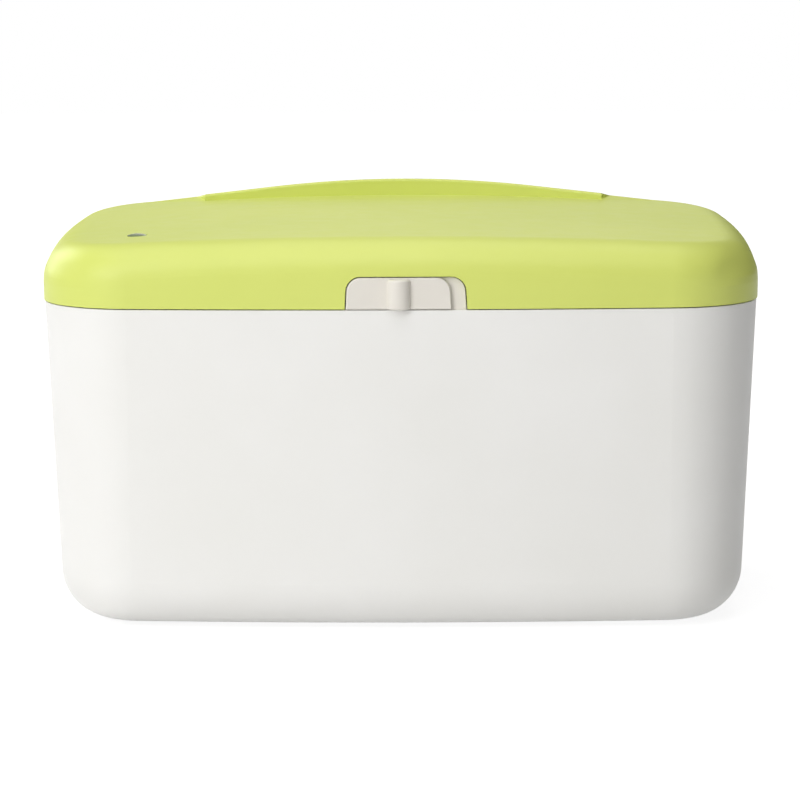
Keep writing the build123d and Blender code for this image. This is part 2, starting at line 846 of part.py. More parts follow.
with BuildPart() as board_screws:
    with Locations(*[Location((x, y, board_top), (180, 0, 0)) for x, y in board_screw_places]):
        add(screw(small_screw_radius, small_head_radius, small_head_height, board_screw_length))

with BuildPart() as body_harness:
    add(wire(body_route, body_bends, wire_radius))

# Hinge pins; the right-hand one runs on through the torsion spring
with BuildPart() as hinge_pins:
    add(axle(inner_knuckle_start - pin_tail, hinge_end - inner_knuckle_start + pin_tail, pin_radius))
    add(axle(-hinge_end, hinge_end - inner_knuckle_start, pin_radius))
    chamfer(hinge_pins.edges().filter_by(GeomType.CIRCLE), length=pin_bevel)

# Torsion spring between the lid and the body, with a leg into the knuckle at each end
spring_end = spring_start + spring_length
lid_leg_tip = cable_start + cable_knuckle_length - leg_length + leg_gap
body_leg_tip = inner_knuckle_start + leg_length - leg_gap
with BuildPart() as hinge_spring:
    with Locations(Location((spring_start, hinge_y, parting_height), (0, 90, 0))):
        add(coil(spring_radius, spring_wire, spring_turns, spring_length))
    with BuildSketch(side_plane(lid_leg_tip)):
        with Locations((0, -spring_radius)):
            Circle(leg_radius)
    extrude(amount=spring_start + spring_wire / 2 - lid_leg_tip)
    with BuildSketch(side_plane(body_leg_tip)):
        with Locations((0, spring_radius)):
            Circle(leg_radius)
    extrude(amount=spring_end - spring_wire / 2 - body_leg_tip)

# Lid shell
with BuildPart() as lid_bosses:
    add(posts(lid_screw_places, boss_radius, liner_top, liner_top + tall))
    add(lid_form(lid_wall / 2), mode=Mode.INTERSECT)

with BuildPart() as lid_shell:
    add(lid_form(0))
    add(lid_form(lid_wall), mode=Mode.SUBTRACT)
    add(lid_bosses.part)
    with BuildSketch(Plane.XY.offset(liner_top)):
        with Locations(*lid_screw_places):
            Circle(screw_radius + screw_fit)
    extrude(amount=lid_screw_length, mode=Mode.SUBTRACT)
    with BuildSketch(front_plane(front_face - rim_rounding)):
        add(latch_face(notch_half, -rib_reach, notch_height, notch_corner))
    extrude(amount=-rim_rounding - 2 * lid_wall, mode=Mode.SUBTRACT)
    with BuildSketch(Plane.XY.offset(liner_top)):
        with Locations((lamp_x, lamp_y)):
            Circle(lens_radius + lens_fit)
    extrude(amount=tall, mode=Mode.SUBTRACT)
    for mirror_side in (-1, 1):
        low_x = lid_knuckle_start if mirror_side > 0 else -lid_knuckle_start - lid_knuckle_length
        add(knuckle(low_x, lid_knuckle_length, 1))
        add(axle(low_x, lid_knuckle_length, pin_radius + pin_fit), mode=Mode.SUBTRACT)
    add(cable_knuckle(cable_start, 1))
    with BuildSketch(side_plane(cable_start + cable_knuckle_length)):
        with Locations((0, -spring_radius)):
            Circle(spring_wire + pin_fit)
    extrude(amount=-leg_length, mode=Mode.SUBTRACT)
    add(wire(lid_route[:5], lid_bends[:3], wire_radius + duct_clearance), mode=Mode.SUBTRACT)

# Liner that closes the lid, with the heater's window, the seal's groove and the lamp's posts
keeper_peg_place = (latch_x - liner_notch_half - keeper_tab / 2, bolt_front + keeper_depth / 2)
stake_places = corners(plate_x - stake_inset, plate_y - stake_inset)
lamp_post_places = corners(
    lamp_board_width / 2 - lamp_board_post_inset,
    lamp_board_depth / 2 - lamp_board_post_inset,
    (lamp_x, lamp_y),
)
with BuildPart() as lid_liner:
    add(level(lid_wall + liner_clearance, liner_bottom, liner_top))
    with BuildSketch(Plane.XY.offset(liner_bottom)):
        with Locations((latch_x, liner_notch_y)):
            Rectangle(2 * liner_notch_half, tall, align=(Align.CENTER, Align.MAX))
        add(slab(plate_x - window_lip, plate_y - window_lip, heater_corner))
        with Locations(*lid_screw_places):
            Circle(screw_radius + screw_fit)
        with Locations(keeper_peg_place):
            Circle(keeper_peg_radius + keeper_fit)
    extrude(amount=liner_thickness, mode=Mode.SUBTRACT)
    groove_width, groove_depth = seal_tongue_width + 2 * seal_fit, seal_tongue_height + seal_fit
    add(seal_ring(groove_width, liner_bottom, liner_bottom + groove_depth), mode=Mode.SUBTRACT)
    add(posts(stake_places, stake_radius, liner_top, liner_top + heater_thickness + stake_height))
    add(posts(lamp_post_places, small_boss_radius, liner_top, lamp_board_bottom))
    add(posts(lamp_post_places, small_screw_radius, lamp_board_bottom, lamp_board_top + stake_height))

with BuildPart() as lid_screws:
    with Locations(*[(x, y, liner_bottom) for x, y in lid_screw_places]):
        add(screw(screw_radius, screw_head_radius, small_head_height, lid_screw_length))

# Seal ring with the tongue that holds it in the liner
with BuildPart() as lid_seal:
    add(seal_ring(seal_width, parting_height + seal_gap, liner_bottom))
    add(seal_ring(seal_tongue_width, liner_bottom, liner_bottom + seal_tongue_height))

# Heater stack on the liner: plate, film and insulation, open round the two switches
film_bottom = liner_top + heater_thickness
pad_bottom = film_bottom + film_thickness
film_x, film_y = plate_x - film_margin, plate_y - film_margin
fuse_room_x, fuse_room_y = fuse_length + 2 * fuse_lead_length, 2 * fuse_radius


def heater_layer(margin, opening_gap, low, thickness):
    """Layer of the heater, in from the film's edge by margin and open round the switches."""
    with BuildPart() as layer:
        with BuildSketch(Plane.XY.offset(low)):
            add(slab(film_x - margin, film_y - margin, heater_corner))
            with Locations(thermostat_place):
                Circle(thermostat_radius + opening_gap, mode=Mode.SUBTRACT)
            with Locations(fuse_place):
                Rectangle(fuse_room_x + 2 * opening_gap, fuse_room_y + 2 * opening_gap, mode=Mode.SUBTRACT)
        extrude(amount=thickness)
    return layer.part


with BuildPart() as heater_plate:
    with BuildSketch(Plane.XY.offset(liner_top)):
        add(slab(plate_x, plate_y, heater_corner))
        with Locations(*stake_places):
            Circle(stake_radius + stake_fit, mode=Mode.SUBTRACT)
    extrude(amount=heater_thickness)

with BuildPart() as heater_film:
    add(heater_layer(0, film_opening, film_bottom, film_thickness))

with BuildPart() as insulation_pad:
    add(heater_layer(pad_margin, pad_opening, pad_bottom, pad_thickness))

cap_bottom = film_bottom + thermostat_height
terminal_bottom = cap_bottom + thermostat_cap_height
with BuildPart() as thermostat:
    add(posts([thermostat_place], thermostat_radius, film_bottom, cap_bottom))
    add(posts([thermostat_place], thermostat_cap_radius, cap_bottom, terminal_bottom))
    with BuildSketch(Plane.XY.offset(terminal_bottom)):
        with Locations(thermostat_place):
            with GridLocations(terminal_spacing, 0, 2, 1):
                Rectangle(terminal_thickness, terminal_width)
    extrude(amount=terminal_height)

fuse_axis = Plane(
    origin=(fuse_place[0] - fuse_length / 2, fuse_place[1], film_bottom + fuse_radius),
    x_dir=(0, 1, 0),
    z_dir=(1, 0, 0),
)
with BuildPart() as thermal_fuse:
    with BuildSketch(fuse_axis):
        Circle(fuse_radius)
    extrude(amount=fuse_length)
    with BuildSketch(fuse_axis.offset(-fuse_lead_length)):
        Circle(fuse_lead_radius)
    extrude(amount=fuse_length + 2 * fuse_lead_length)

# Indicator: board, lamp and light pipe
with BuildPart() as lid_pcb:
    with BuildSketch(Plane.XY.offset(lamp_board_bottom)):
        with Locations((lamp_x, lamp_y)):
            Rectangle(lamp_board_width, lamp_board_depth)
        with Locations(*lamp_post_places):
            Circle(small_screw_radius + screw_fit, mode=Mode.SUBTRACT)
    extrude(amount=board_thickness)

led_top = lamp_board_top + led_height
with BuildPart() as indicator_led:
    add(posts([(lamp_x, lamp_y)], led_radius + led_rim, lamp_board_top, lamp_board_top + 2 * led_rim))
    add(posts([(lamp_x, lamp_y)], led_radius, lamp_board_top, led_top - led_radius))
    with Locations((lamp_x, lamp_y, led_top - led_radius)):
        Sphere(led_radius)

lens_bottom = led_top + led_gap
lens_flange_bottom = lid_top(lamp_x, lamp_y) - lid_wall - lens_flange_height
with BuildPart() as lens_flange:
    add(posts([(lamp_x, lamp_y)], lens_flange_radius, lens_bottom, lens_bottom + tall))
    add(lid_form(lid_wall + lens_seat), mode=Mode.INTERSECT)
    core = posts([(lamp_x, lamp_y)], 2 * lens_flange_radius, lens_bottom, lens_flange_bottom)
    add(core, mode=Mode.SUBTRACT)

with BuildPart() as indicator_lens:
    add(posts([(lamp_x, lamp_y)], lens_radius, lens_bottom, lens_bottom + tall))
    with Locations((lamp_x, lamp_y, lid_top(lamp_x, lamp_y) + lens_dome - lens_dome_radius)):
        Sphere(lens_dome_radius, mode=Mode.INTERSECT)
    add(lens_flange.part)

with BuildPart() as lid_harness:
    add(wire(lid_route, lid_bends, wire_radius))

# Latch base on the tub's flange: front plate, foot and the tunnel that guides the bolt
foot_front = front_latch + latch_base_thickness
tunnel_back = bolt_back + bolt_gap
slot_middle = (slot_low + slot_high) / 2
plate_half, plate_height = notch_half - latch_gap, notch_height - latch_gap
latch_corner = notch_corner - latch_gap
slider_x = -latch_travel / 2  # at rest, from the latch's middle
with BuildPart() as latch_base:
    with BuildSketch(front_plane(foot_front)):
        add(latch_face(plate_half, 0, plate_height, latch_corner))
    extrude(amount=latch_base_thickness)
    add(beam(-plate_half, latch_tab_end, foot_front, latch_foot_back, 0, latch_foot_height))
    add(
        beam(
            tunnel_start,
            tunnel_end + tunnel_wall,
            foot_front,
            tunnel_back + tunnel_wall,
            latch_foot_height,
            slot_high + tunnel_wall,
        )
    )
    add(beam(tunnel_start, tunnel_end, foot_front, tunnel_back, slot_low, slot_high), mode=Mode.SUBTRACT)
    slot_half = stem_half + stem_gap + latch_travel / 2
    add(beam(-slot_half, slot_half, front_latch, foot_front, slot_low, slot_high), mode=Mode.SUBTRACT)
    with BuildSketch(Plane.XY.offset(parting_height)):
        with Locations(*latch_screw_places):
            Circle(small_screw_radius + screw_fit)
    extrude(amount=latch_foot_height, mode=Mode.SUBTRACT)

latch_screw_height = parting_height + latch_foot_height
with BuildPart() as latch_screws:
    with Locations(*[Location((x, y, latch_screw_height), (180, 0, 0)) for x, y in latch_screw_places]):
        add(screw(small_screw_radius, small_head_radius, small_head_height, latch_screw_length))

# Slider: face plate with a round thumb rib, and the stem and peg that carry the bolt
slider_back = front_latch - slider_gap
slider_face = slider_back - slider_thickness
stem_low, stem_high = slot_low + stem_gap, slot_high - stem_gap
with BuildPart() as thumb_rib:
    with BuildSketch(Plane.XY.offset(parting_height + slider_gap)):
        with Locations((latch_x + slider_x, slider_face)):
            Ellipse(rib_half, rib_reach)
    extrude(amount=plate_height - rib_margin - slider_gap)
    fillet(thumb_rib.edges().filter_by(Axis.Z, reverse=True), radius=rib_rounding)
    split(bisect_by=front_plane(slider_face + slider_thickness / 2))

with BuildPart() as latch_slider:
    with BuildSketch(front_plane(slider_back)):
        with Locations((slider_x, 0)):
            add(latch_face(plate_half - latch_travel / 2, slider_gap, plate_height, latch_corner))
    extrude(amount=slider_thickness)
    chamfer(latch_slider.faces().sort_by(Axis.Y)[0].edges(), length=slider_bevel)
    add(thumb_rib.part)
    add(beam(slider_x - stem_half, slider_x + stem_half, slider_back, bolt_front, stem_low, stem_high))
    with BuildSketch(front_plane(bolt_front + slider_peg)):
        with Locations((slider_x, slot_middle)):
            Circle(small_screw_radius)
    extrude(amount=slider_peg)

with BuildPart() as latch_bolt:
    add(beam(-bolt_reach, bolt_tail, bolt_front, bolt_back, stem_low, stem_high))
    chamfer(latch_bolt.edges().filter_by(Axis.Y).group_by(Axis.X)[0], length=bolt_bevel)
    with BuildSketch(front_plane(bolt_back)):
        with Locations((slider_x, slot_middle)):
            Circle(small_screw_radius + screw_fit)
    extrude(amount=bolt_depth, mode=Mode.SUBTRACT)

coil_x = latch_x + bolt_tail + latch_coil_wire
coil_place = (coil_x, (bolt_front + bolt_back) / 2, parting_height + slot_middle)
with BuildPart() as latch_spring:
    with Locations(Location(coil_place, (0, 90, 0))):
        coil_length = tunnel_end - bolt_tail - 2 * latch_coil_wire
        add(coil(latch_coil_radius, latch_coil_wire, latch_coil_turns, coil_length))

# Keeper in the lid: a ledge beside the bolt's tip, on a riser from a tab pegged to the liner
keeper_outer = keeper_gap - liner_notch_half
keeper_back = bolt_front + keeper_depth
liner_level = liner_top - parting_height
keeper_top = liner_level + keeper_tab_height
keeper_ledge_top = keeper_rise + keeper_height
with BuildPart() as latch_keeper:
    add(
        beam(
            keeper_outer - keeper_tab,
            keeper_outer + keeper_riser,
            bolt_front,
            keeper_back,
            liner_level,
            keeper_top,
        )
    )
    add(beam(keeper_outer, keeper_outer + keeper_riser, bolt_front, keeper_back, keeper_rise, keeper_top))
    add(beam(keeper_outer, -bolt_reach - keeper_gap, bolt_front, keeper_back, keeper_rise, keeper_ledge_top))
    add(posts([keeper_peg_place], keeper_peg_radius, liner_bottom, liner_top))

pieces = {
    "outer_body": outer_body,
    "inner_tub": inner_tub,
    "base_plate": base_plate,
    "base_screws": base_screws,
    "rubber_feet": rubber_feet,
    "dc_jack": dc_jack,
    "jack_pin": jack_pin,
    "jack_board": jack_board,
    "board_screws": board_screws,
    "body_harness": body_harness,
    "hinge_pins": hinge_pins,
    "hinge_spring": hinge_spring,
    "lid_shell": lid_shell,
    "lid_liner": lid_liner,
    "lid_screws": lid_screws,
    "lid_seal": lid_seal,
    "heater_plate": heater_plate,
    "heater_film": heater_film,
    "insulation_pad": insulation_pad,
    "thermostat": thermostat,
    "thermal_fuse": thermal_fuse,
    "lid_pcb": lid_pcb,
    "indicator_led": indicator_led,
    "indicator_lens": indicator_lens,
    "lid_harness": lid_harness,
    "latch_base": latch_base,
    "latch_screws": latch_screws,
    "latch_slider": latch_slider,
    "latch_bolt": latch_bolt,
    "latch_spring": latch_spring,
    "latch_keeper": latch_keeper,
}
os.makedirs("parts", exist_ok=True)
for name, piece in pieces.items():
    piece.part.label = name
    export_step(piece.part, f"parts/{name}.step")
    print(name, len(piece.part.solids()), round(piece.part.volume), piece.part.is_valid)
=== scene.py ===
from math import atan2, copysign, cos, exp, radians, sin

import bpy
from mathutils import Matrix, Vector


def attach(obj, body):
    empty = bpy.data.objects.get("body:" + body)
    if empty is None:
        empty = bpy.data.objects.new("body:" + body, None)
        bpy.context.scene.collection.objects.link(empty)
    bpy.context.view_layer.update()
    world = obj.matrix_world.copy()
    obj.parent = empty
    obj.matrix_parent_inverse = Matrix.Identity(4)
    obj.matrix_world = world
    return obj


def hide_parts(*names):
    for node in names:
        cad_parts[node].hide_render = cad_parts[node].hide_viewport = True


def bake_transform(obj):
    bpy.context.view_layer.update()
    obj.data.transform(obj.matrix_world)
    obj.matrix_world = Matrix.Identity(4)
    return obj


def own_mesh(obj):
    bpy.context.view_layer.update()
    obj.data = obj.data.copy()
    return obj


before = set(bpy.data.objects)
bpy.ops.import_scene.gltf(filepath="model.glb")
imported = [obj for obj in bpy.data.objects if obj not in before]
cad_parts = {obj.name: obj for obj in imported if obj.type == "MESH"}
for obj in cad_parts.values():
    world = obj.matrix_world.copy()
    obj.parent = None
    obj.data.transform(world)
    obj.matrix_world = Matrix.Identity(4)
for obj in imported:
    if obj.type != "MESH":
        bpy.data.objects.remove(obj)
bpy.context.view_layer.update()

MM = 0.001


# ---------------------------------------------------------------- camera
IMAGE = 800  # pixels, width and height
CAMERA_TARGET = Vector((0.0, 0.0, 61.2)) * MM
CAMERA_DISTANCE = 1009.0 * MM
CAMERA_RISE = radians(8.956)  # above the level of its target
CAMERA_TURN = radians(-0.668)  # from straight in front
CAMERA_ROLL = radians(0.244)
CAMERA_REACH = (0.01, 20.0)  # metres, the nearest and the farthest point that it sees
PIXELS_PER_MM = 3.077  # at the target's distance
VIEW_CENTRE = (402.4, 405.5)  # pixel that the camera's axis meets
SENSOR = 36.0  # mm


def make_camera():
    """Camera at the photograph's viewing angle, distance and framing."""
    forward = Vector(
        (
            cos(CAMERA_RISE) * sin(CAMERA_TURN),
            cos(CAMERA_RISE) * cos(CAMERA_TURN),
            -sin(CAMERA_RISE),
        )
    )
    right = Vector((cos(CAMERA_TURN), -sin(CAMERA_TURN), 0.0))
    up = right.cross(forward)
    side = cos(CAMERA_ROLL) * right - sin(CAMERA_ROLL) * up
    top = sin(CAMERA_ROLL) * right + cos(CAMERA_ROLL) * up
    data = bpy.data.cameras.new("camera")
    data.sensor_width = SENSOR
    data.lens = PIXELS_PER_MM / MM * CAMERA_DISTANCE / IMAGE * SENSOR
    data.shift_x = (IMAGE / 2 - VIEW_CENTRE[0]) / IMAGE
    data.shift_y = (VIEW_CENTRE[1] - IMAGE / 2) / IMAGE
    data.clip_start, data.clip_end = CAMERA_REACH
    camera = bpy.data.objects.new("camera", data)
    bpy.context.collection.objects.link(camera)
    place = Matrix.Translation(CAMERA_TARGET - forward * CAMERA_DISTANCE)
    camera.matrix_world = place @ Matrix((side, top, -forward)).transposed().to_4x4()
    bpy.context.scene.camera = camera


# ---------------------------------------------------------------- shader nodes
def object_place(tree):
    """The object's own coordinates."""
    return tree.nodes.new("ShaderNodeTexCoord").outputs["Object"]


def map_range(tree, value, source=(0.0, 1.0), target=(0.0, 1.0)):
    """Maps a value from the source range to the target range, and clamps it there."""
    node = tree.nodes.new("ShaderNodeMapRange")
    node.inputs["From Min"].default_value, node.inputs["From Max"].default_value = source
    node.inputs["To Min"].default_value, node.inputs["To Max"].default_value = target
    tree.links.new(value, node.inputs["Value"])
    return node.outputs["Result"]


def calculate(tree, operation, first, second, clamp=False):
    """Math node of two values or sockets."""
    node = tree.nodes.new("ShaderNodeMath")
    node.operation = operation
    node.use_clamp = clamp
    for socket, value in zip(node.inputs, (first, second)):
        if isinstance(value, (int, float)):
            socket.default_value = value
        else:
            tree.links.new(value, socket)
    return node.outputs[0]


def vector_step(tree, operation, first, second=None):
    """Vector Math node of a socket and a fixed vector: returns the node."""
    node = tree.nodes.new("ShaderNodeVectorMath")
    node.operation = operation
    tree.links.new(first, node.inputs[0])
    if second:
        node.inputs[1].default_value = second
    return node


# ---------------------------------------------------------------- materials
NOISE_RANGE = (0.3, 0.7)  # where nearly all of a noise texture's values lie
METAL_STRETCH = (1.0, 12.0, 12.0)  # draws the noise out into lines along x
LENS_SCATTER = (0.002, 0.002, 0.0015)  # metres, for red, green and blue

MOULDED_PLASTICS = {  # name: colour, the colour it drifts to, roughness
    "lid_plastic": ((217, 226, 116), (213, 223, 111), 0.46),
    "body_plastic": ((241, 240, 237), (238, 237, 233), 0.45),
    "tub_plastic": ((238, 238, 232), (234, 234, 228), 0.42),
    "latch_plastic": ((230, 225, 216), (226, 221, 211), 0.40),
    "jack_plastic": ((34, 34, 35), (40, 40, 42), 0.38),
    "led_plastic": ((206, 222, 196), (196, 214, 186), 0.18),
}
BRUSHED_METALS = {  # name: colour, the colour it drifts to, roughness
    "steel": ((190, 190, 188), (176, 177, 176), 0.32),
    "contact_brass": ((216, 198, 140), (204, 184, 124), 0.25),
    "aluminium": ((204, 205, 206), (192, 193, 195), 0.38),
}
SOFT_MATERIALS = {  # name: the same three, then the size and the depth of its pores in mm
    "feet_rubber": ((92, 92, 92), (84, 84, 85), 0.75, 0.3, 0.03),
    "seal_rubber": ((214, 214, 208), (206, 206, 200), 0.6, 0.3, 0.02),
    "wire_jacket": ((44, 44, 46), (36, 36, 38), 0.5, 0.4, 0.02),
    "foam": ((206, 206, 204), (190, 190, 188), 0.9, 0.8, 0.2),
}
DRESSED_NODES = {  # material: the CAD nodes that it is given to
    "lid_plastic": ["lid_shell"],
    "body_plastic": ["outer_body", "base_plate"],
    "tub_plastic": ["inner_tub", "lid_liner", "latch_bolt"],
    "latch_plastic": ["latch_base", "latch_slider"],
    "jack_plastic": ["dc_jack", "thermostat"],
    "led_plastic": ["indicator_led"],
    "steel": [
        "base_screws",
        "board_screws",
        "lid_screws",
        "latch_screws",
        "hinge_pins",
        "hinge_spring",
        "latch_spring",
        "latch_keeper",
        "thermal_fuse",
    ],
    "contact_brass": ["jack_pin"],
    "aluminium": ["heater_plate"],
    "feet_rubber": ["rubber_feet"],
    "seal_rubber": ["lid_seal"],
    "wire_jacket": ["body_harness", "lid_harness"],
    "foam": ["insulation_pad"],
    "lens_plastic": ["indicator_lens"],
    "heater_film": ["heater_film"],
    "board": ["jack_board", "lid_pcb"],
}


def new_material(name):
    """Material with nodes: returns the material, its tree and its shader."""
    material = bpy.data.materials.new(name)
    material.use_nodes = True
    tree = material.node_tree
    return material, tree, tree.nodes["Principled BSDF"]


def srgb(red, green, blue):
    """Linear colour with alpha from an sRGB colour of 0 to 255."""
    channels = []
    for value in (red, green, blue):
        share = value / 255
        channels.append(share / 12.92 if share <= 0.04045 else ((share + 0.055) / 1.055) ** 2.4)
    return (*channels, 1.0)


def noise(tree, size_mm, detail=4.0, stretch=(1.0, 1.0, 1.0)):
    """Noise in the object's own coordinates with features of about size_mm."""
    mapping = tree.nodes.new("ShaderNodeMapping")
    mapping.inputs["Scale"].default_value = stretch
    texture = tree.nodes.new("ShaderNodeTexNoise")
    texture.inputs["Scale"].default_value = 1 / (size_mm * MM)
    texture.inputs["Detail"].default_value = detail
    tree.links.new(object_place(tree), mapping.inputs["Vector"])
    tree.links.new(mapping.outputs["Vector"], texture.inputs["Vector"])
    return texture.outputs["Fac"]


def spread(tree, value, low=0.0, high=1.0):
    """Spreads a noise from low to high."""
    return map_range(tree, value, NOISE_RANGE, (low, high))


def vary(tree, shader, colour, other, value):
    """Base colour between two close colours by a 0 to 1 value."""
    mix = tree.nodes.new("ShaderNodeMix")
    mix.data_type = "RGBA"
    mix.inputs["A"].default_value = srgb(*colour)
    mix.inputs["B"].default_value = srgb(*other)
    tree.links.new(value, mix.inputs["Factor"])
    tree.links.new(mix.outputs["Result"], shader.inputs["Base Color"])


def roughen(tree, shader, value, low, high):
    """Roughness from low to high by a noise."""
    tree.links.new(spread(tree, value, low, high), shader.inputs["Roughness"])


def add_bump(tree, shader, height, depth_mm, strength):
    """Adds a layer of bump over those that the shader already has."""
    bump = tree.nodes.new("ShaderNodeBump")
    bump.inputs["Distance"].default_value = depth_mm * MM
    bump.inputs["Strength"].default_value = strength
    tree.links.new(height, bump.inputs["Height"])
    normal = shader.inputs["Normal"]
    if normal.is_linked:
        tree.links.new(normal.links[0].from_socket, bump.inputs["Normal"])
    tree.links.new(bump.outputs["Normal"], normal)


def moulded_plastic(name, colour, other, roughness):
    """Injection-moulded plastic: faint colour drift, fine spark texture and slow surface wave."""
    material, tree, shader = new_material(name)
    vary(tree, shader, colour, other, spread(tree, noise(tree, size_mm=45.0, detail=2.0)))
    clouds = noise(tree, size_mm=6.0, detail=3.0)
    roughen(tree, shader, clouds, low=roughness - 0.03, high=roughness + 0.03)
    wave = noise(tree, size_mm=30.0, detail=1.0)
    grain = noise(tree, size_mm=0.35, detail=2.0)
    add_bump(tree, shader, wave, depth_mm=0.05, strength=0.2)
    add_bump(tree, shader, grain, depth_mm=0.01, strength=0.15)
    return material


def brushed_metal(name, colour, other, roughness):
    """Metal with fine drawn lines and cloudy colour."""
    material, tree, shader = new_material(name)
    vary(tree, shader, colour, other, spread(tree, noise(tree, size_mm=3.0, detail=3.0)))
    lines = noise(tree, size_mm=1.2, detail=3.0, stretch=METAL_STRETCH)
    roughen(tree, shader, lines, low=roughness - 0.06, high=roughness + 0.1)
    add_bump(tree, shader, lines, depth_mm=0.01, strength=0.25)
    shader.inputs["Metallic"].default_value = 1.0
    return material


def soft_material(name, colour, other, roughness, pore_mm, depth_mm):
    """Rubber, silicone or foam: matt, with pores of the given size."""
    material, tree, shader = new_material(name)
    vary(tree, shader, colour, other, spread(tree, noise(tree, size_mm=4.0, detail=3.0)))
    pores = noise(tree, pore_mm, detail=3.0)
    roughen(tree, shader, pores, low=roughness - 0.05, high=roughness + 0.05)
    add_bump(tree, shader, pores, depth_mm, strength=0.5)
    return material


def lens_plastic(name):
    """Diffusing light pipe: cloudy grey-green plastic with a polished face."""
    material, tree, shader = new_material(name)
    clouds = noise(tree, size_mm=2.0)
    fine = noise(tree, size_mm=1.5)
    vary(tree, shader, (140, 152, 120), (126, 138, 106), spread(tree, clouds))
    roughen(tree, shader, fine, low=0.16, high=0.24)
    add_bump(tree, shader, fine, depth_mm=0.01, strength=0.2)
    shader.inputs["Subsurface Weight"].default_value = 0.3
    shader.inputs["Subsurface Radius"].default_value = LENS_SCATTER
    shader.inputs["Subsurface Scale"].default_value = 1.0
    return material


def film(name):
    """Amber film with the etched heater track showing through."""
    material, tree, shader = new_material(name)
    tracks = tree.nodes.new("ShaderNodeTexWave")
    tracks.wave_type = "BANDS"
    tracks.bands_direction = "Y"
    tracks.inputs["Scale"].default_value = 90.0
    tree.links.new(object_place(tree), tracks.inputs["Vector"])
    vary(tree, shader, (176, 102, 34), (130, 66, 20), tracks.outputs["Fac"])
    roughen(tree, shader, noise(tree, size_mm=5.0), low=0.2, high=0.34)
    add_bump(tree, shader, tracks.outputs["Fac"], depth_mm=0.03, strength=0.5)
    return material


def circuit_board(name):
    """Solder-masked board with faint copper tracks under the mask."""
    material, tree, shader = new_material(name)
    tracks = tree.nodes.new("ShaderNodeTexBrick")
    tracks.inputs["Scale"].default_value = 260.0
    tracks.inputs["Mortar Size"].default_value = 0.03
    tracks.inputs["Color1"].default_value = srgb(24, 88, 48)
    tracks.inputs["Color2"].default_value = srgb(20, 78, 42)
    tracks.inputs["Mortar"].default_value = srgb(46, 120, 66)
    tree.links.new(object_place(tree), tracks.inputs["Vector"])
    tree.links.new(tracks.outputs["Color"], shader.inputs["Base Color"])
    roughen(tree, shader, noise(tree, size_mm=2.0), low=0.3, high=0.42)
    add_bump(tree, shader, tracks.outputs["Fac"], depth_mm=0.03, strength=0.4)
    return material


def dress_nodes():
    """Makes every material and gives it to its CAD nodes."""
    materials = {}
    for make, table in (
        (moulded_plastic, MOULDED_PLASTICS),
        (brushed_metal, BRUSHED_METALS),
        (soft_material, SOFT_MATERIALS),
    ):
        for name, settings in table.items():
            materials[name] = make(name, *settings)
    materials["lens_plastic"] = lens_plastic("lens_plastic")
    materials["heater_film"] = film("heater_film")
    materials["board"] = circuit_board("board")
    for name, nodes in DRESSED_NODES.items():
        for node in nodes:
            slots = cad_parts[node].data.materials
            slots.clear()
            slots.append(materials[name])


# ---------------------------------------------------------------- replaced nodes
SHOULDER_CENTRE = (93.0, 107.2)  # mm, across and up, of the lid's shoulder rounding
SHOULDER_START = (88.0, 106.0)  # mm, across and up, where the bow begins
SHOULDER_EASE = 8.0  # mm past the start, where the bow has its whole size
SHOULDER_ANGLE = radians(26.0)  # up from level, where the bow is largest
SHOULDER_FADE = radians(20.0)  # width of its fall to each side of that angle
SHOULDER_SPAN = 20.0  # mm, width of its fall in front of and behind each depth
SHOULDER_BOW = {-60: -1.18, -30: 0.17, 0: 0.51, 30: 0.22, 60: -1.18}  # mm outwards at each depth


def free_copy(node, name):
    """Copy of a dressed CAD node that stands for it, so that its shape can change."""
    piece = bpy.data.objects.new(name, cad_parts[node].data.copy())
    bpy.context.collection.objects.link(piece)
    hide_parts(node)
    return piece


def ease(value, start, width):
    """Smooth step from 0 at start to 1 a width further."""
    share = min(max((value - start) / width, 0.0), 1.0)
    return share * share * (3 - 2 * share)


def bell(value, middle, width):
    """Bell curve that is 1 in the middle and falls off to each side over the width."""
    return exp(-(((value - middle) / width) ** 2) / 2)


def make_lid():
    """Lid shell with rounder shoulders: bowed out at mid-depth and drawn in at the four corners."""
    lid = free_copy("lid_shell", "lid_moulding")
    for vertex in lid.data.vertices:
        x, y, z = vertex.co / MM
        share = ease(z, SHOULDER_START[1], SHOULDER_EASE)
        share *= ease(abs(x), SHOULDER_START[0], SHOULDER_EASE)
        if share == 0.0:
            continue
        angle = atan2(z - SHOULDER_CENTRE[1], abs(x) - SHOULDER_CENTRE[0])
        bow = sum(push * bell(y, depth, SHOULDER_SPAN) for depth, push in SHOULDER_BOW.items())
        bow *= share * bell(angle, SHOULDER_ANGLE, SHOULDER_FADE)
        vertex.co += Vector((copysign(cos(angle), x), 0.0, sin(angle))) * bow * MM
    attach(lid, "lid")


def make_hinge_spring():
    """Torsion spring: a free copy of the CAD node with its placement baked into its mesh."""
    spring = free_copy("hinge_spring", "hinge_spring_wire")
    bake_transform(spring)


def make_latch_spring():
    """Compression spring: a free copy of the CAD node, attached to the body, with a mesh of its
    own.
    """
    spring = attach(free_copy("latch_spring", "latch_spring_wire"), "body")
    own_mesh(spring)


